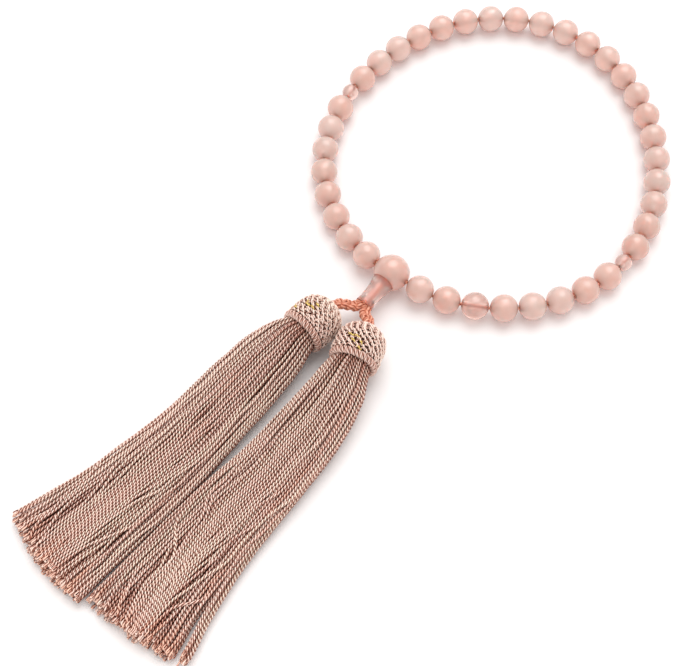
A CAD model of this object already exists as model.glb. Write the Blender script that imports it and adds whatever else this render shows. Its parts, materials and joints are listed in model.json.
"""Looks of the single-loop mala: polished rose quartz beads, silk cords and two silk tassels.

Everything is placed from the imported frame's joints and boxes. Lengths are in metres and
small sizes are given in millimetres through MM.
"""

import json
import math

import bpy
import numpy as np
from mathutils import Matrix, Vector

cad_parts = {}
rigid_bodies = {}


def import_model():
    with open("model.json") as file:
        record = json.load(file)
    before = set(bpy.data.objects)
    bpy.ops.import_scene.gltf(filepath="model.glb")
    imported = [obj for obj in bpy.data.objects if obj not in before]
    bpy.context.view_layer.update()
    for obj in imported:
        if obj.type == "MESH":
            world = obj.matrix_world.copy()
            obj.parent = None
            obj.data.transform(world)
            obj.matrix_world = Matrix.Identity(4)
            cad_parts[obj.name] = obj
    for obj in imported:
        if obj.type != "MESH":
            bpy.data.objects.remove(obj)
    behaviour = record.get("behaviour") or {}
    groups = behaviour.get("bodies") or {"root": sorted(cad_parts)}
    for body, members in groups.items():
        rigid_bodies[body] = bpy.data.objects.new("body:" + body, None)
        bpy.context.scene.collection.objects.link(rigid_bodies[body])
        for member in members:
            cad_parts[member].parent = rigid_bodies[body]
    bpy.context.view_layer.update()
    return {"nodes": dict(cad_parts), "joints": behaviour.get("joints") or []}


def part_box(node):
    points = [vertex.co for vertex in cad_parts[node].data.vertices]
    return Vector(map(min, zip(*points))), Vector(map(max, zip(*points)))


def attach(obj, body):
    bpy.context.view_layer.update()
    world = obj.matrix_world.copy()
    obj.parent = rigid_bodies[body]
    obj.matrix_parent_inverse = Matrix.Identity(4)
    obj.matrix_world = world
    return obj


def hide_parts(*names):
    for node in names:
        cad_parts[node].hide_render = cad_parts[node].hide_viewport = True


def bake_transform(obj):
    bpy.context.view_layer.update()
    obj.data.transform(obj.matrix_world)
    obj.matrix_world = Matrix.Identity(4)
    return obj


MM = 0.001
SIDES = ("left", "right")
OUTWARD = {"left": -1, "right": 1}

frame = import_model()
joints = {joint["name"]: joint for joint in frame["joints"]}


# ---------------------------------------------------------------- small vector helpers

def unit(vectors):
    """The vectors along the last axis with length one."""
    vectors = np.asarray(vectors, float)
    return vectors / np.maximum(np.linalg.norm(vectors, axis=-1, keepdims=True), 1e-12)


def joint_point(name):
    """Where a joint turns, in the frame."""
    return np.array(joints[name]["pos_m"], float)


def smoothstep(x, low, high):
    """0 below low, 1 above high and a smooth rise between them."""
    t = np.clip((np.asarray(x, float) - low) / (high - low), 0, 1)
    return t * t * (3 - 2 * t)


def carried_normals(paths, closed=False):
    """Unit normals and binormals along paths (count, points, 3) that twist as little as they can."""
    if closed:
        tangents = unit(np.roll(paths, -1, axis=1) - np.roll(paths, 1, axis=1))
    else:
        tangents = unit(np.gradient(paths, axis=1))
    first = tangents[:, 0]
    helper = np.where(np.abs(first[:, 2:3]) < 0.9, [[0.0, 0.0, 1.0]], [[1.0, 0.0, 0.0]])
    normal = unit(helper - first * np.sum(helper * first, axis=1, keepdims=True))
    normals = np.empty_like(paths)
    for step in range(paths.shape[1]):
        tangent = tangents[:, step]
        normal = unit(normal - tangent * np.sum(normal * tangent, axis=1, keepdims=True))
        normals[:, step] = normal
    return normals, np.cross(tangents, normals)


def resampled(points, count):
    """The same path, straight from corner to corner, cut into evenly spaced points."""
    points = np.asarray(points, float)
    steps = np.linalg.norm(np.diff(points, axis=0), axis=1)
    along = np.concatenate([[0], np.cumsum(steps)])
    even = np.linspace(0, along[-1], count)
    return np.stack([np.interp(even, along, points[:, axis]) for axis in range(3)], axis=1)


# ---------------------------------------------------------------- meshes

def tube_faces(count, rings, sides, closed):
    """Quads of several tubes that all have the same number of rings and sides."""
    last = rings if closed else rings - 1
    tube, ring, side = np.meshgrid(np.arange(count), np.arange(last), np.arange(sides), indexing="ij")
    base = tube * rings * sides
    here, there = base + ring * sides, base + (ring + 1) % rings * sides
    turned = (side + 1) % sides
    quads = np.stack([here + side, here + turned, there + turned, there + side], axis=-1)
    return quads.reshape(-1, 4)


def tubes(paths, radii, sides, closed=False):
    """Round tubes along paths (count, points, 3): vertices, quads and end polygons."""
    count, rings = paths.shape[:2]
    radii = np.broadcast_to(np.asarray(radii, float), (count, rings))
    normals, binormals = carried_normals(paths, closed)
    angles = np.arange(sides) * 2 * math.pi / sides
    spoke = np.cos(angles)[:, None] * normals[:, :, None] + np.sin(angles)[:, None] * binormals[:, :, None]
    vertices = (paths[:, :, None] + spoke * radii[:, :, None, None]).reshape(-1, 3)
    quads = tube_faces(count, rings, sides, closed)
    if closed:
        return vertices, quads, np.zeros((0, sides), int)
    starts = np.arange(count)[:, None] * rings * sides
    first = starts + np.arange(sides)[::-1]
    last = starts + (rings - 1) * sides + np.arange(sides)
    return vertices, quads, np.concatenate([first, last])


def piece(name, parts, material, **attributes):
    """One smooth mesh object from (vertices, quads, end polygons) parts.

    Each attribute lists, for every part, one number for each vertex; the material reads them.
    """
    vertices, loops, sizes, offset = [], [], [], 0
    for points, *polygon_sets in parts:
        vertices.append(points)
        for polygons in polygon_sets:
            loops.append((polygons + offset).ravel())
            sizes.append(np.full(len(polygons), polygons.shape[1]))
        offset += len(points)
    vertices, loops, sizes = (np.concatenate(items) for items in (vertices, loops, sizes))
    mesh = bpy.data.meshes.new(name)
    mesh.vertices.add(len(vertices))
    mesh.vertices.foreach_set("co", vertices.astype(np.float32).ravel())
    mesh.loops.add(len(loops))
    mesh.loops.foreach_set("vertex_index", loops.astype(np.int32))
    mesh.polygons.add(len(sizes))
    mesh.polygons.foreach_set("loop_start", (np.cumsum(sizes) - sizes).astype(np.int32))
    mesh.update(calc_edges=True)
    mesh.validate()
    mesh.polygons.foreach_set("use_smooth", np.ones(len(mesh.polygons), bool))
    for title, numbers in attributes.items():
        attribute = mesh.attributes.new(title, "FLOAT", "POINT")
        attribute.data.foreach_set("value", np.concatenate(numbers).astype(np.float32))
    mesh.materials.append(material)
    obj = bpy.data.objects.new(name, mesh)
    bpy.context.scene.collection.objects.link(obj)
    return obj


GROOVE_DEPTH = 2.1           # change of tone from the line a thread twists round to its outside
GROOVE_MIDDLE = 0.86         # share of a thread's full reach where it keeps the tone it is given


def twisted_paths(centres, plies, lay_radius, pitch, closed=False):
    """Paths of the plies that twist round centre paths (count, points, 3)."""
    normals, binormals = carried_normals(centres, closed)
    steps = np.linalg.norm(np.diff(centres, axis=1), axis=2)
    along = np.concatenate([np.zeros((len(centres), 1)), np.cumsum(steps, axis=1)], axis=1)
    starts = np.arange(plies)[:, None, None] * 2 * math.pi / plies
    angle = (2 * math.pi * along / pitch + starts)[..., None]
    paths = centres + lay_radius * (np.cos(angle) * normals + np.sin(angle) * binormals)
    return paths.reshape(-1, *centres.shape[1:])


def groove_shades(vertices, axes, reach, tones):
    """Tone of twisted tubes: light at their outermost, dark in the grooves between them.

    axes (count, points, 3) holds the line that each tube twists round.
    """
    outside = np.linalg.norm(vertices.reshape(*axes.shape[:2], -1, 3) - axes[:, :, None], axis=3)
    height = np.minimum(outside / reach, 1) - GROOVE_MIDDLE
    return np.clip(tones + GROOVE_DEPTH * height, 0, 1).ravel()


def twisted_threads(centres, plies, lay_radius, thread_radius, pitch, sides, tones, closed=False):
    """Threads twisted round centre paths (count, points, 3), and their groove shades."""
    part = tubes(twisted_paths(centres, plies, lay_radius, pitch, closed), thread_radius, sides, closed)
    axes = np.tile(centres, (plies, 1, 1))
    return part, groove_shades(part[0], axes, lay_radius + thread_radius, tones[:, None, None])


# ---------------------------------------------------------------- materials

def new_material(name):
    """An empty node material with its Principled shader and a short way to add nodes."""
    material = bpy.data.materials.new(name)
    material.use_nodes = True
    tree = material.node_tree
    shader = tree.nodes["Principled BSDF"]

    def add(kind, **settings):
        node = tree.nodes.new("ShaderNode" + kind)
        for key, value in settings.items():
            if key in node.inputs:
                node.inputs[key].default_value = value
            else:
                setattr(node, key, value)
        return node

    def link(source, target):
        tree.links.new(source, target)

    return material, shader, add, link


def colour_ramp(add, stops):
    """A colour ramp node from (position, colour) stops."""
    ramp = add("ValToRGB")
    elements = ramp.color_ramp.elements
    while len(elements) < len(stops):
        elements.new(0.5)
    for element, (position, colour) in zip(elements, stops):
        element.position = position
        element.color = (*colour, 1)
    return ramp


def quartz_material(name, deep, pale, clearness, roughness, refraction=1.54):
    """Milky, polished, translucent stone: faint clouds, a greyer rim and a warmer underside."""
    material, shader, add, link = new_material(name)
    place = add("TexCoord")
    bead = add("ObjectInfo")
    by_bead = add("CombineXYZ")
    for axis in "XYZ":
        link(bead.outputs["Random"], by_bead.inputs[axis])
    shift = add("Mapping")
    link(place.outputs["Object"], shift.inputs["Vector"])
    link(by_bead.outputs[0], shift.inputs["Location"])
    cloud = add("TexNoise", Scale=190.0, Detail=4.0, Roughness=0.5, Distortion=0.8)
    link(shift.outputs[0], cloud.inputs["Vector"])
    tint = colour_ramp(add, [(0.3, deep), (0.7, pale)])
    link(cloud.outputs["Fac"], tint.inputs["Fac"])

    facing = add("LayerWeight", Blend=0.35)
    rim = colour_ramp(add, [(0.55, (1.0, 1.0, 1.0)), (0.97, (0.66, 0.74, 0.71))])
    link(facing.outputs["Facing"], rim.inputs["Fac"])
    height = add("SeparateXYZ")
    link(place.outputs["Generated"], height.inputs[0])
    warmth = colour_ramp(add, [(0.15, (1.0, 0.92, 0.90)), (0.8, (1.0, 1.0, 1.0))])
    link(height.outputs["Z"], warmth.inputs["Fac"])
    nearness = add("AmbientOcclusion", Distance=1.2 * MM)
    glow = colour_ramp(add, [(0.1, (1.0, 0.72, 0.62)), (0.75, (1.0, 1.0, 1.0))])
    link(nearness.outputs["AO"], glow.inputs["Fac"])
    colour = tint.outputs["Color"]
    for layer in (rim, warmth, glow):
        layered = add("VectorMath", operation="MULTIPLY")
        link(colour, layered.inputs[0])
        link(layer.outputs["Color"], layered.inputs[1])
        colour = layered.outputs[0]

    vary = add("HueSaturation")
    saturation = add("MapRange", **{"To Min": 0.95, "To Max": 1.15})
    link(bead.outputs["Random"], saturation.inputs["Value"])
    link(saturation.outputs[0], vary.inputs["Saturation"])
    link(colour, vary.inputs["Color"])
    link(vary.outputs["Color"], shader.inputs["Base Color"])
    shader.inputs["Roughness"].default_value = roughness
    shader.inputs["IOR"].default_value = refraction
    shader.inputs["Coat Weight"].default_value = 0.6
    shader.inputs["Transmission Weight"].default_value = clearness
    shader.inputs["Subsurface Weight"].default_value = 1.0
    shader.inputs["Subsurface Radius"].default_value = (9.0, 6.0, 5.5)
    shader.inputs["Subsurface Scale"].default_value = MM
    return material


def silk_material(name, shadow, middle, light, fibre_scale=2500.0, blush=0.0, shine=0.9):
    """Twisted silk: tone and tint come from the mesh; fine fibres give it a broken sheen."""
    material, shader, add, link = new_material(name)
    place = add("TexCoord")
    shade = add("Attribute", attribute_name="shade")
    tone = colour_ramp(add, [(0.0, shadow), (0.45, middle), (0.85, light)])
    link(shade.outputs["Fac"], tone.inputs["Fac"])
    patch = add("TexNoise", Scale=80.0, Detail=2.0)
    link(place.outputs["Object"], patch.inputs["Vector"])
    patchy = add("MapRange", **{"To Min": blush - 0.35, "To Max": blush + 0.35})
    link(patch.outputs["Fac"], patchy.inputs["Value"])
    tint = add("Attribute", attribute_name="tint")
    pinkness = add("Math", operation="ADD")
    link(patchy.outputs[0], pinkness.inputs[0])
    link(tint.outputs["Fac"], pinkness.inputs[1])
    pink = colour_ramp(add, [(0.0, (1.0, 1.0, 0.94)), (0.6, (1.0, 0.88, 0.87)), (1.0, (1.0, 0.72, 0.62))])
    link(pinkness.outputs[0], pink.inputs["Fac"])
    tinted = add("VectorMath", operation="MULTIPLY")
    link(tone.outputs["Color"], tinted.inputs[0])
    link(pink.outputs["Color"], tinted.inputs[1])
    fibre = add("TexNoise", Scale=fibre_scale, Detail=3.0, Roughness=0.65)
    link(place.outputs["Object"], fibre.inputs["Vector"])
    strength = add("MapRange", **{"To Min": 0.82, "To Max": 1.12})
    link(fibre.outputs["Fac"], strength.inputs["Value"])
    mixed = add("VectorMath", operation="SCALE")
    link(tinted.outputs[0], mixed.inputs[0])
    link(strength.outputs[0], mixed.inputs["Scale"])
    link(mixed.outputs[0], shader.inputs["Base Color"])
    bump = add("Bump", Strength=0.35, Distance=0.05 * MM)
    link(fibre.outputs["Fac"], bump.inputs["Height"])
    link(bump.outputs[0], shader.inputs["Normal"])
    shader.inputs["Roughness"].default_value = 0.3
    shader.inputs["Sheen Weight"].default_value = 0.06
    shader.inputs["Sheen Roughness"].default_value = 0.4
    shader.inputs["Sheen Tint"].default_value = (*light, 1)
    gloss = add("MapRange", **{"From Min": 0.15, "From Max": 0.8, "To Min": 0.03, "To Max": shine})
    link(shade.outputs["Fac"], gloss.inputs["Value"])
    link(gloss.outputs[0], shader.inputs["Specular IOR Level"])
    return material


def gold_material():
    """Fine metallic thread."""
    material, shader, add, link = new_material("gold_thread")
    place = add("TexCoord")
    glint = add("TexNoise", Scale=4000.0, Detail=2.0)
    link(place.outputs["Object"], glint.inputs["Vector"])
    tint = colour_ramp(add, [(0.35, (0.42, 0.27, 0.05)), (0.65, (1.0, 0.80, 0.30))])
    link(glint.outputs["Fac"], tint.inputs["Fac"])
    link(tint.outputs["Color"], shader.inputs["Base Color"])
    shader.inputs["Metallic"].default_value = 0.85
    shader.inputs["Roughness"].default_value = 0.3
    return material


ROSE_QUARTZ = quartz_material(
    "rose_quartz", deep=(0.96, 0.60, 0.53), pale=(1.0, 0.68, 0.61), clearness=0.48, roughness=0.15,
)
BOSS_QUARTZ = quartz_material(
    "boss_quartz", deep=(1.0, 0.75, 0.69), pale=(1.0, 0.84, 0.79), clearness=0.85, roughness=0.06,
    refraction=1.25,
)
CLEAR_QUARTZ = quartz_material(
    "clear_quartz", deep=(0.96, 0.67, 0.60), pale=(1.0, 0.80, 0.74), clearness=0.85, roughness=0.1,
)
STRAND_SILK = silk_material(
    "strand_silk", shadow=(0.03, 0.005, 0.002), middle=(0.46, 0.21, 0.15), light=(1.0, 0.88, 0.77),
    blush=0.45,
)
NET_SILK = silk_material(
    "net_silk", shadow=(0.03, 0.008, 0.004), middle=(0.52, 0.28, 0.21), light=(1.0, 0.90, 0.80),
    blush=0.45,
)
CORD_SILK = silk_material(
    "cord_silk", shadow=(0.12, 0.02, 0.01), middle=(0.58, 0.17, 0.10), light=(0.88, 0.43, 0.30),
)
CORE_FELT = silk_material(
    "core_felt", shadow=(0.10, 0.035, 0.025), middle=(0.12, 0.045, 0.03), light=(0.16, 0.07, 0.05),
    fibre_scale=1500.0, shine=0.1,
)
GOLD = gold_material()


# ---------------------------------------------------------------- beads

CLEAR_BEADS = ("small_bead_left", "small_bead_right", "main_bead_35")


def dress_beads():
    """Polished stone on every bead; the beads keep their CAD shape."""
    for name, node in frame["nodes"].items():
        if not name.endswith("bead") and "_bead_" not in name:
            continue
        stone = CLEAR_QUARTZ if name in CLEAR_BEADS else ROSE_QUARTZ
        if name == "boss_bead":
            stone = BOSS_QUARTZ
        node.data.materials.clear()
        node.data.materials.append(stone)
        for polygon in node.data.polygons:
            polygon.use_smooth = True


# ---------------------------------------------------------------- loop cord

BARE_CORD_BY_BEAD = 0.1 * MM     # half of the bare cord between two beads
POINTS_PER_PITCH = 12            # points along a laid cord for each full twist
LOOP_CORD = {"radius": 0.5 * MM, "plies": 2, "pitch": 1.6 * MM, "tone": 0.65}
BOSS_CORD = {"radius": 1.1 * MM, "plies": 3, "pitch": 2.6 * MM, "tone": 0.9}
FRONT_CORD_SEED = 90
BOSS_CORD_SEED = 91


def bead_ends(name):
    """Where the cord enters and leaves a bead, a little outside the stone."""
    joint = joints["turn_" + name]
    middle = np.array(joint["pos_m"], float)
    axis = unit(joint["axis"])
    low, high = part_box(name)
    reach = max(high - low) / 2 + BARE_CORD_BY_BEAD
    return middle - axis * reach, middle + axis * reach


def cord_path(link_body):
    """Corner points of the cord in one link, in the order of its beads."""
    turning = [joint for joint in frame["joints"] if joint["name"].startswith("turn_")]
    names = [joint["child"] for joint in turning if joint["parent"] == link_body]
    return [point for name in names for point in bead_ends(name)]


def twisted_cord(name, corners, body, node, seed, radius, plies, pitch, tone):
    """A laid cord through the corner points that stands for a CAD cord, or for part of one."""
    length = sum(np.linalg.norm(np.diff(corners, axis=0), axis=1))
    centre = resampled(corners, max(int(length / pitch * POINTS_PER_PITCH), POINTS_PER_PITCH))
    if plies > 2:
        touching = radius / (1 + 1 / math.sin(math.pi / plies))
        ply_radius = touching * 1.08
    else:
        ply_radius = radius * 0.52
    lay_radius = radius - ply_radius
    tones = tone + np.random.default_rng(seed).uniform(-0.1, 0.1, plies)
    part, shades = twisted_threads(centre[None], plies, lay_radius, ply_radius, pitch, 8, tones)
    obj = piece(name, [part], CORD_SILK, shade=[shades])
    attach(obj, body)
    if node:
        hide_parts(node)


def make_loop_cord():
    """Salmon silk cord through the beads, one piece for each link of the loop."""
    links = {name.removeprefix("cord_"): name for name in frame["nodes"] if name.startswith("cord_")}
    for number, (place, node) in enumerate(sorted(links.items())):
        if place == "front":
            continue
        body = "back_link" if place == "back" else place.replace("_", "_link_")
        corners = np.array(cord_path(body))
        twisted_cord("loop_cord_" + place, corners, body, node, number, **LOOP_CORD)
    make_front_cord()


def make_front_cord():
    """The cord through the parent bead and its neighbours, and the leg through the boss."""
    low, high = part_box("parent_bead")
    middle = np.array((low + high) / 2)
    left = [bead_ends("main_bead_01"), bead_ends("main_bead_02")]
    right = [bead_ends("main_bead_36"), bead_ends("main_bead_37")]
    corners = np.array([*right[0], *right[1], middle, *left[0], *left[1]])
    twisted_cord("loop_cord_front", corners, "front", "cord_front", FRONT_CORD_SEED, **LOOP_CORD)
    leg = np.array([middle, joint_point("turn_boss_bead")])
    twisted_cord("boss_cord", leg, "front", None, BOSS_CORD_SEED, **BOSS_CORD)


# ---------------------------------------------------------------- hanging cords

def plait_paths(centre, across, through, pitch):
    """Three strands plaited along a centre path."""
    normals, binormals = carried_normals(centre[None])
    steps = np.linalg.norm(np.diff(centre, axis=0), axis=1)
    turn = 2 * math.pi * np.concatenate([[0], np.cumsum(steps)]) / pitch
    angle = (turn + np.arange(3)[:, None] * 2 * math.pi / 3)[..., None]
    return centre + across * np.sin(angle) * binormals + through * np.sin(2 * angle) * normals


def bezier(points, count):
    """A cubic curve from four control points."""
    t = np.linspace(0, 1, count)[:, None]
    a, b, c, d = (np.asarray(point, float) for point in points)
    return (1 - t) ** 3 * a + 3 * (1 - t) ** 2 * t * b + 3 * (1 - t) * t ** 2 * c + t ** 3 * d


LEAVING_HANDLE = {"left": 1.2 * MM, "right": 2.4 * MM}   # how far a cord runs on out of the boss
HEAD_HANDLE = 2.6 * MM           # how far it runs straight before it meets the head
INSIDE_BOSS = 2.6 * MM           # length of its start that is hidden in the boss
INSIDE_HEAD = 1.5 * MM           # length of its end that is hidden in the head
HANG_POINTS = 150
BENDING_POINTS = 40              # points at either end over which the cord bends
PLAIT = {"across": 0.86 * MM, "through": 0.48 * MM, "pitch": 6.6 * MM}
PLAIT_THREADS = {
    "plies": 3, "lay_radius": 0.38 * MM, "thread_radius": 0.42 * MM, "pitch": 2.8 * MM, "sides": 8,
}
PLAIT_SEED = 5


def hanging_path(side):
    """Centre line of a hanging cord, from inside the boss to inside the head."""
    start = joint_point(side + "_cord_swing")
    top = joint_point(side + "_tassel_lift")
    into_head = unit(joint_point(side + "_skirt_sway") - top)
    inside_boss = np.array([start[0] * 0.45, start[1] + INSIDE_BOSS, start[2]])
    away = np.array([0.0, -1.0, 0.0])
    leaving = unit(away + unit(top - start)) * LEAVING_HANDLE[side]
    middle = bezier([start, start + leaving, top - into_head * HEAD_HANDLE, top], 120)
    path = np.concatenate([[inside_boss], middle, [top + into_head * INSIDE_HEAD]])
    return resampled(path, HANG_POINTS)


def make_hanging_cord(side):
    """A plaited cord in two halves, so that each half bends at its own end."""
    path = hanging_path(side)
    strands = plait_paths(path, **PLAIT)
    tones = np.random.default_rng(PLAIT_SEED).uniform(0.38, 0.58, 3 * PLAIT_THREADS["plies"])
    half = HANG_POINTS // 2
    for name, part_of_path, bodies, ends in (
        ("upper", slice(None, half + 1), ("front", side + "_cord"), (path[0], path[BENDING_POINTS])),
        ("lower", slice(half, None), (side + "_cord", side + "_head"), (path[-BENDING_POINTS], path[-1])),
    ):
        part, shades = twisted_threads(strands[:, part_of_path], tones=tones, **PLAIT_THREADS)
        obj = piece("%s_hanging_cord_%s" % (side, name), [part], CORD_SILK, shade=[shades])
        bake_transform(obj)
        if name == "upper":
            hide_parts(side + "_hanging_cord")


# ---------------------------------------------------------------- tassel heads

NET_RADIUS = 6.62 * MM
NET_ABOVE_NECK = 2.1 * MM        # the net ends here and the rim begins
NET_SLANT = {"left": 76, "right": 57}                    # degrees off the way down
GOLD_PLACES = {"left": (65, 0.74), "right": (80, 0.85)}  # degrees round, share of the way down
GOLD_STITCHES = 5
STITCH_STEPS = np.linspace(-1, 1, 8)                     # places along a stitch, from end to end
STITCH_LIFT = 0.42 * MM          # how far the middle of a stitch stands out
ROW_STAGGER = 0.45               # share of a stitch by which each row is shifted
CROSSING = math.radians(80)      # angle between the stitches on top and those under them
OVER_STITCHES = {"length": 1.85 * MM, "depth": 0.05 * MM, "row_gap": 0.78 * MM, "stitch_gap": 1.9 * MM}
UNDER_STITCHES = {"length": 1.9 * MM, "depth": 0.3 * MM, "row_gap": 1.15 * MM, "stitch_gap": 1.3 * MM}
OVER_TONE, UNDER_TONE, GOLD_TONE = 1.1, 0.35, 1.0
STITCH_THREADS = {
    "plies": 2, "lay_radius": 0.15 * MM, "thread_radius": 0.20 * MM, "pitch": 2.6 * MM, "sides": 6,
}
CORE_RADIUS = 6.25 * MM
RIM_CENTRE_RADIUS = 6.1 * MM     # the ring that the cords of the rim twist round
RIM_CENTRE_ABOVE_NECK = 1.15 * MM
RIM_TURNS = 10                   # twists of the rim's cords in one round
RIM_THREADS = {
    "plies": 4, "lay_radius": 0.28 * MM, "thread_radius": 0.25 * MM, "pitch": 3.1 * MM, "sides": 6,
}


def head_axes(side):
    """Head top, unit direction to the neck, unit sideways and up directions, and length."""
    top = joint_point(side + "_tassel_lift")
    neck = joint_point(side + "_skirt_sway")
    along = unit(neck - top)
    up = np.array([0.0, 0.0, 1.0])
    return top, along, np.cross(along, up), up, np.linalg.norm(neck - top)


def head_profile(radius, length, count):
    """Radius and distance from the top along the outline of a dome that ends in a straight wall."""
    shoulder = radius * 0.95
    angle = np.linspace(0.24, math.pi / 2, count)
    bulge = np.stack([radius * np.sin(angle) ** 0.9, shoulder * (1 - np.cos(angle))], axis=1)
    down = np.linspace(shoulder, length, count // 2 + 1)[1:]
    wall = np.stack([np.full(len(down), radius), down], axis=1)
    return np.concatenate([bulge, wall])


def on_head(side, radius, distance, angle):
    """Points round a head's axis from their radius, distance from the top and angle."""
    top, along, sideways, up, _ = head_axes(side)
    radius, distance, angle = (np.asarray(item, float)[..., None] for item in (radius, distance, angle))
    return top + along * distance + radius * (np.cos(angle) * sideways + np.sin(angle) * up)


def stitches(side, rng, slant, length, depth, row_gap, stitch_gap):
    """One layer of stitches, in rows from the top down to the rim.

    Returns their centre paths, the share of the way down and the angle round of each.
    """
    outline = head_profile(NET_RADIUS, head_axes(side)[4] - NET_ABOVE_NECK, 60)
    steps = np.linalg.norm(np.diff(outline, axis=0), axis=1)
    arc = np.concatenate([[0], np.cumsum(steps)])
    rows = int(arc[-1] / row_gap)
    middles, angles = [], []
    for row in range(rows):
        middle = (row + 0.5) * arc[-1] / rows
        count = max(int(2 * math.pi * np.interp(middle, arc, outline[:, 0]) / stitch_gap), 5)
        places = (np.arange(count) + ROW_STAGGER * row + rng.normal(0, 0.07, count)) / count
        angles.append(places * 2 * math.pi)
        middles.append(np.full(count, middle) + rng.normal(0, 0.07 * MM, count))
    middles, angles = np.concatenate(middles)[:, None], np.concatenate(angles)[:, None]
    tilt = slant + rng.normal(0, 0.15, middles.shape)
    size = length * rng.uniform(0.8, 1.2, middles.shape) / 2
    across = middles + size * np.cos(tilt) * STITCH_STEPS
    ring = np.interp(middles, arc, outline[:, 0])
    turned = angles + size * np.sin(tilt) * STITCH_STEPS / np.maximum(ring, 1.5 * MM)
    lift = STITCH_LIFT * (1 - STITCH_STEPS ** 2) + rng.normal(0, 0.06 * MM, middles.shape) - depth
    radius = np.interp(across, arc, outline[:, 0]) + lift
    paths = on_head(side, radius, np.interp(across, arc, outline[:, 1]), turned)
    return paths, middles / arc[-1], angles


def stitch_part(paths, rng, tone):
    """Two-ply threads along stitches, with tones that darken where a stitch dives under."""
    tones = np.tile(rng.normal(tone, 0.1, len(paths)), STITCH_THREADS["plies"])
    part, shades = twisted_threads(paths, tones=tones, **STITCH_THREADS)
    dive = 0.75 * STITCH_STEPS ** 4
    shades = shades.reshape(-1, len(dive), STITCH_THREADS["sides"])
    return part, np.clip(shades - dive[:, None], 0, 1).ravel()


def make_net(side, seed, slant):
    """The worked net: crossed two-ply stitches with dark gaps, and a few of gold thread."""
    rng = np.random.default_rng(seed)
    over, middles, angles = stitches(side, rng, slant, **OVER_STITCHES)
    under, _, _ = stitches(side, rng, slant - CROSSING, **UNDER_STITCHES)
    gold_angle, gold_distance = GOLD_PLACES[side]
    near_angle = np.abs(angles[:, 0] % (2 * math.pi) - math.radians(gold_angle)) < 0.45
    near_distance = np.abs(middles[:, 0] - gold_distance) < 0.17
    chosen = rng.permutation(np.flatnonzero(near_angle & near_distance))[:GOLD_STITCHES]
    golden = np.isin(np.arange(len(over)), chosen)
    layers = ((over[~golden], OVER_TONE), (under, UNDER_TONE))
    parts, shades = zip(*[stitch_part(paths, rng, tone) for paths, tone in layers])
    net = piece(side + "_net", parts, NET_SILK, shade=shades)
    gold = piece(side + "_gold_stitches", [stitch_part(over[golden], rng, GOLD_TONE)[0]], GOLD)
    for obj in (net, gold):
        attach(obj, side + "_head")
    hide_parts(side + "_tassel_net")


def make_core(side):
    """The dark bundle that shows through the gaps of the net."""
    length = head_axes(side)[4]
    outline = head_profile(CORE_RADIUS, length - 1.2 * MM, 24)
    tip = 1e-6
    outline = np.concatenate([[[tip, 0.15 * MM]], outline + [0, 0.2 * MM], [[tip, length - 1.0 * MM]]])
    sides = 48
    angles = np.arange(sides) * 2 * math.pi / sides
    points = on_head(side, outline[:, 0:1], outline[:, 1:2], angles).reshape(-1, 3)
    quads = tube_faces(1, len(outline), sides, False)
    ends = np.stack([np.arange(sides)[::-1], np.arange(sides) + (len(outline) - 1) * sides])
    core = piece(side + "_core", [(points, quads, ends)], CORE_FELT)
    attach(core, side + "_head")
    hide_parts(side + "_tassel_core")


def make_rim(side, seed):
    """The rolled rim of the net: laid cords that twist round a ring at the neck."""
    from_top = head_axes(side)[4] - RIM_CENTRE_ABOVE_NECK
    rng = np.random.default_rng(seed)
    count, cords = 480, 3
    round_angle = np.arange(count) / count * 2 * math.pi - math.pi / 2
    lay_angle = round_angle * RIM_TURNS + np.arange(cords)[:, None] * 2 * math.pi / cords
    radius = RIM_CENTRE_RADIUS + 0.5 * MM * np.cos(lay_angle)
    distance = from_top + 0.62 * MM * np.sin(lay_angle)
    strands = on_head(side, radius, distance, np.broadcast_to(round_angle, radius.shape))
    threads = cords * RIM_THREADS["plies"]
    tones = rng.uniform(0.75, 0.95, threads)
    part, shades = twisted_threads(strands, tones=tones, closed=True, **RIM_THREADS)
    ring = on_head(side, RIM_CENTRE_RADIUS, from_top, np.tile(round_angle, (threads, 1)))
    reach = np.linalg.norm(part[0].reshape(*ring.shape[:2], -1, 3) - ring[:, :, None], axis=3)
    shades = np.clip(shades + GROOVE_DEPTH * (reach.ravel() / np.max(reach) - 1), 0, 1)
    tints = np.full(len(shades), 0.1)
    rim = piece(side + "_rim", [part], NET_SILK, shade=[shades], tint=[tints])
    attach(rim, side + "_head")


# ---------------------------------------------------------------- skirts

STRANDS = 180
STRAND_RADIUS = 0.4 * MM
STRAND_TWIST = -2.2 * MM
POINTS_PER_TWIST = 7
SKIRT_LENGTH = 92 * MM
TUCKED_IN = 2 * MM           # length of the strands that is hidden inside the rim
SKIRT_SIDES = 5              # corners round each thread of a strand
BUNDLES = 6
# Strands that part from the skirt's edge: how many, how far sideways, over which last length
STRAYS = {"left": (1, 1.0 * MM, 25 * MM), "right": (8, 1.7 * MM, 38 * MM)}
LAY_SHARE = 0.49             # of a strand's radius: how far its two threads lie from its middle
THREAD_SHARE = 0.52          # of a strand's radius: the radius of one thread
EYE_LENGTH = 1.3 * MM        # the open eye in which a strand turns back
EYE_WIDTH = 0.42 * MM        # how much an eye opens on each side
EYE_POINTS = 30              # points above an eye over which the strand changes to its tone
EYE_RELIEF = 25              # points above an eye over which a covered strand gets lighter

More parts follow.
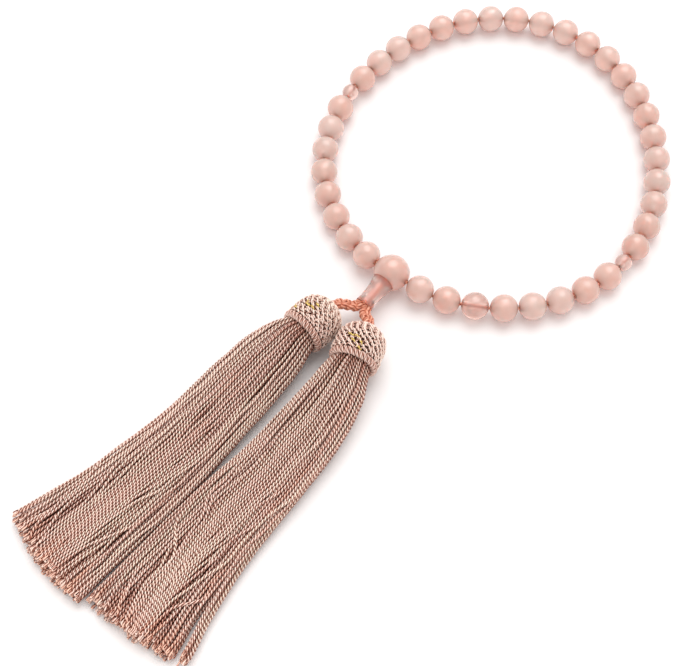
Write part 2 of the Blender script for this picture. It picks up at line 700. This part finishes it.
# Outline of each skirt in mm: distance below the neck, reach outwards, reach inwards
SKIRT_OUTLINES = {
    "left": (
        (-2, 5.2, 5.2), (0, 6.0, 5.8), (3, 7.6, 6.8), (6, 8.8, 7.8), (10, 9.8, 8.7), (14, 10.3, 9.4),
        (22, 10.0, 10.8), (30, 9.3, 11.9), (46, 8.4, 14.4), (54, 8.7, 15.25), (62, 9.2, 15.95),
        (70, 9.9, 16.65), (78, 10.9, 17.35), (86, 11.9, 18.0), (92, 12.8, 18.5),
    ),
    "right": (
        (-2, 5.2, 5.2), (0, 5.9, 5.8), (3, 7.4, 6.3), (6, 8.8, 6.7), (14, 10.6, 7.4), (22, 11.5, 7.9),
        (30, 11.5, 8.3), (38, 11.5, 9.2), (46, 11.4, 10.7), (54, 11.3, 11.95), (62, 11.5, 12.85),
        (70, 11.8, 13.75), (78, 12.3, 14.65), (86, 13.8, 15.4), (92, 14.3, 15.9),
    ),
}
# Height of the same skirts: distance below the neck, half height, height of the middle
SKIRT_PROFILE = (
    (-2, 5.4, 7.2), (0, 5.7, 7.2), (3, 6.3, 6.9), (6, 5.9, 6.2), (10, 5.2, 5.3), (18, 4.4, 4.4),
    (30, 3.8, 3.8), (42, 3.4, 3.4), (55, 3.1, 3.1), (70, 2.8, 2.8), (92, 2.5, 2.5),
)


def skirt_section(side, distance):
    """Half width, outward shift, half height and middle height at distances below the neck."""
    at, outwards, inwards = (np.array(column) * MM for column in zip(*SKIRT_OUTLINES[side]))
    height_at, half_height, middle = (np.array(column) * MM for column in zip(*SKIRT_PROFILE))
    return (
        np.interp(distance, at, (outwards + inwards) / 2),
        np.interp(distance, at, (outwards - inwards) / 2),
        np.interp(distance, height_at, half_height),
        np.interp(distance, height_at, middle),
    )


def squeeze(distance):
    """Share of their full thickness that the strands have; the rim binds them thinner."""
    return 0.84 + 0.16 * smoothstep(distance, 0, 8 * MM)


def spread_out(points, limits, corner, gap, rounds):
    """Pushes crossing strands apart and back inside the rounded outline of the section."""
    for _ in range(rounds):
        apart = points[:, None] - points[None]
        distance = np.linalg.norm(apart, axis=-1) + np.eye(len(points))
        push = np.clip(gap - distance, 0, None) * 0.4
        np.fill_diagonal(push, 0)
        points = points + np.sum(apart / distance[..., None] * push[..., None], axis=1)
        outside = np.sum(np.abs(points / limits) ** corner, axis=1) ** (1 / corner)
        points = points / np.maximum(outside, 1)[:, None]
    return points


def strand_sections(side, stations, rng):
    """Places of all strands across the skirt at each station: (stations, strands, 2).

    They start as an even spiral and are pushed apart anew at each station.
    """
    number = np.arange(STRANDS) + 0.5
    spiral = number * math.pi * (3 - math.sqrt(5))
    points = np.sqrt(number / STRANDS)[:, None] * np.stack([np.cos(spiral), np.sin(spiral)], axis=1)
    last = np.ones(2)
    sections = []
    for distance in stations:
        half_width, _, half_height, _ = skirt_section(side, distance)
        limits = np.array([half_width, half_height]) - STRAND_RADIUS
        loose = smoothstep(distance, 4 * MM, 30 * MM)
        points = points * limits / last + rng.normal(0, 0.2 * MM, points.shape) * loose
        gap = 2.06 * STRAND_RADIUS * squeeze(distance)
        points = spread_out(points, limits, 2 + 1.6 * loose, gap, 70)
        sections.append(points)
        last = limits
    return np.array(sections)


def smooth_columns(values, stations, fine):
    """Each column of values at the stations, run through by a smooth curve at fine steps."""
    slopes = np.gradient(values, stations, axis=0)
    index = np.clip(np.searchsorted(stations, fine, side="right") - 1, 0, len(stations) - 2)
    span = (stations[index + 1] - stations[index])[:, None]
    t = (fine - stations[index])[:, None] / span
    return (
        (2 * t ** 3 - 3 * t ** 2 + 1) * values[index] + (t ** 3 - 2 * t ** 2 + t) * span * slopes[index]
        + (3 * t ** 2 - 2 * t ** 3) * values[index + 1] + (t ** 3 - t ** 2) * span * slopes[index + 1]
    )


def skirt_axes(side):
    """Level unit direction of the skirt's fall and its unit direction away from the middle."""
    neck = joint_point(side + "_skirt_sway")
    middle = np.mean([vertex.co for vertex in frame["nodes"][side + "_tassel_skirt"].data.vertices], axis=0)
    direction = unit([middle[0] - neck[0], middle[1] - neck[1], 0.0])
    return direction, np.cross(direction, [0.0, 0.0, 1.0]) * -OUTWARD[side]


def strand_paths(side, rng):
    """Centre lines of all strands (strands, points, 3), how deep each point of them lies
    inside the skirt, from 0 on its surface to 1, and the distances below the neck."""
    neck = joint_point(side + "_skirt_sway")
    direction, outward = skirt_axes(side)
    stations = np.concatenate([np.arange(-2.0, 12.0, 2.0), np.linspace(12, 92, 15)]) * MM
    sections = strand_sections(side, stations, rng)
    fine = np.arange(-TUCKED_IN, SKIRT_LENGTH, abs(STRAND_TWIST) / POINTS_PER_TWIST)
    across = smooth_columns(sections[:, :, 0], stations, fine)
    above = smooth_columns(sections[:, :, 1], stations, fine)
    half_width, shift, half_height, middle = skirt_section(side, fine)
    depth = 1 - np.hypot(across / half_width[:, None], above / half_height[:, None])
    across = across + shift[:, None] + stray(side, sections[-1, :, 0], fine)
    level = np.array([neck[0], neck[1], 0.0])
    paths = level + direction * fine[:, None] + outward * across.T[..., None]
    paths[..., 2] = (middle[:, None] + above).T
    return paths, depth.T, fine


def stray(side, last_across, fine):
    """Sideways drift of a few edge strands that part from the skirt towards its end."""
    count, drift, length = STRAYS[side]
    edge = np.sort(last_across)[-count]
    return drift * smoothstep(fine, SKIRT_LENGTH - length, SKIRT_LENGTH)[:, None] * (last_across >= edge)


def folded_strand(centre, phase, thinner, across, tones):
    """One strand: its thread down one side of the twist, round an open eye and up the other.

    Returns the thread's part, its groove shades and how near each ring is to the eye.
    """
    normals, binormals = (item[0] for item in carried_normals(centre[None]))
    turn = np.arange(len(centre)) * 2 * math.pi / POINTS_PER_TWIST * np.sign(STRAND_TWIST) + phase
    lay = (STRAND_RADIUS * LAY_SHARE * thinner)[:, None]
    offset = lay * (np.cos(turn)[:, None] * normals + np.sin(turn)[:, None] * binormals)
    tip = unit(centre[-1] - centre[-2])
    t = np.linspace(0, 1, 11)[1:-1, None]
    wide = np.linalg.norm(offset[-1]) + EYE_WIDTH * np.sin(math.pi * t)
    eye = centre[-1] + unit(offset[-1]) * wide * np.cos(math.pi * t)
    eye = eye + tip * EYE_LENGTH * np.sin(math.pi * t) ** 0.8
    path = np.concatenate([centre + offset, eye, (centre - offset)[::-1]])
    axis = np.concatenate([centre, np.repeat(centre[-1:], len(t), axis=0), centre[::-1]])
    radii = np.concatenate([thinner, np.ones(len(t)), thinner[::-1]]) * STRAND_RADIUS * THREAD_SHARE
    part = tubes(path[None], radii[None], SKIRT_SIDES)
    sideways = np.abs((part[0].reshape(len(path), -1, 3) - axis[:, None]) @ across) / STRAND_RADIUS
    to_end = np.minimum(np.arange(len(path)), np.arange(len(path))[::-1])
    nearness = smoothstep(to_end, len(centre) - EYE_POINTS, len(centre))
    tones = np.concatenate([tones, np.repeat(tones[-1:] - 0.15, len(t)), tones[::-1]]) - 0.06 * nearness
    tones = tones[:, None] - 0.75 * smoothstep(sideways, 0.55, 1.0)
    shades = groove_shades(part[0], axis[None], STRAND_RADIUS, tones)
    return part, shades, np.repeat(nearness, SKIRT_SIDES)


def missing_lengths(ends, outward, rng):
    """How much shorter each strand is: a little by chance, more on top and towards one edge."""
    on_top = ends[:, 2] / np.max(ends[:, 2])
    from_longest = ends @ outward
    from_longest = (from_longest - np.quantile(from_longest, 0.3)) / np.ptp(from_longest)
    return (rng.uniform(0, 1.8, STRANDS) + on_top + 6 * from_longest ** 2) * MM


def make_skirt(side, seed):
    """The fall of strands in a few pieces, each bending at the neck."""
    rng = np.random.default_rng(seed)
    direction, outward = skirt_axes(side)
    paths, depth, fine = strand_paths(side, rng)
    thinner = squeeze(fine)
    shorter = missing_lengths(paths[:, -1], outward, rng)
    order = np.argsort(paths[:, -1] @ outward)
    for number, bundle in enumerate(np.array_split(order, BUNDLES)):
        parts, shades, tints = [], [], []
        for strand in bundle:
            points = len(fine) - int(shorter[strand] / abs(STRAND_TWIST) * POINTS_PER_TWIST)
            phase = rng.uniform(0, 2 * math.pi)
            covered = smoothstep(depth[strand, :points], 0.1, 0.5)
            covered = covered * (1 - 0.8 * smoothstep(np.arange(points), points - EYE_RELIEF, points))
            tones = rng.normal(0.84, 0.08) - 0.55 * covered
            centre = paths[strand, :points]
            part, shade, nearness = folded_strand(centre, phase, thinner[:points], outward, tones)
            parts.append(part)
            shades.append(shade)
            tints.append(rng.normal(0.0, 0.22) + 0.4 * nearness)
        name = "%s_skirt_%d" % (side, number + 1)
        skirt = piece(name, parts, STRAND_SILK, shade=shades, tint=tints)
        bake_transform(skirt)
        if number == 0:
            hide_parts(side + "_tassel_skirt")


# ---------------------------------------------------------------- studio

def make_floor():
    """A large plain white floor."""
    mesh = bpy.data.meshes.new("floor")
    reach = 30.0
    corners = [(-reach, -reach, 0), (reach, -reach, 0), (reach, reach, 0), (-reach, reach, 0)]
    mesh.from_pydata(corners, [], [(0, 1, 2, 3)])
    floor = bpy.data.objects.new("floor", mesh)
    bpy.context.scene.collection.objects.link(floor)
    material, shader, _, _ = new_material("white_paper")
    shader.inputs["Base Color"].default_value = (0.9, 0.9, 0.9, 1)
    shader.inputs["Roughness"].default_value = 0.8
    shader.inputs["Specular IOR Level"].default_value = 0.1
    mesh.materials.append(material)
    floor.location.z = -0.02 * MM    # just under the mala, so that nothing flickers


def make_studio():
    """Warm white surroundings and a broad soft light from above and behind."""
    world = bpy.data.worlds.new("studio")
    world.use_nodes = True
    background = world.node_tree.nodes["Background"]
    background.inputs["Color"].default_value = (1.0, 0.955, 0.94, 1)
    background.inputs["Strength"].default_value = 0.95
    bpy.context.scene.world = world
    data = bpy.data.lights.new("soft_key", "SUN")
    data.energy = 1.5
    data.angle = math.radians(50)
    key = bpy.data.objects.new("soft_key", data)
    key.rotation_mode = "QUATERNION"
    key.rotation_quaternion = Vector((-0.30, 0.62, 1.35)).to_track_quat("Z", "Y")
    bpy.context.scene.collection.objects.link(key)
    bpy.context.scene.view_settings.view_transform = "Standard"


def make_camera():
    """A camera that sees the mala from the front right, well above the table."""
    azimuth, elevation, distance = math.radians(37.14), math.radians(61.68), 0.380
    target = Vector((-1.76 * MM, -74.43 * MM, 0))
    back = Vector((
        math.sin(azimuth) * math.cos(elevation),
        -math.cos(azimuth) * math.cos(elevation),
        math.sin(elevation),
    ))
    data = bpy.data.cameras.new("camera")
    data.sensor_width = 36.0     # millimetres, and so is the lens
    data.lens = 71.27894
    data.clip_start = 0.01
    camera = bpy.data.objects.new("camera", data)
    camera.location = target + back * distance
    camera.rotation_mode = "QUATERNION"
    camera.rotation_quaternion = (-back).to_track_quat("-Z", "Y")
    bpy.context.scene.collection.objects.link(camera)
    bpy.context.scene.camera = camera


NET_SEED, RIM_SEED, SKIRT_SEED = 10, 20, 30

dress_beads()
make_loop_cord()
for number, side in enumerate(SIDES):
    make_hanging_cord(side)
    make_core(side)
    make_net(side, NET_SEED + number, math.radians(NET_SLANT[side]))
    make_rim(side, RIM_SEED + number)
    make_skirt(side, SKIRT_SEED + number)
make_floor()
make_studio()
make_camera()
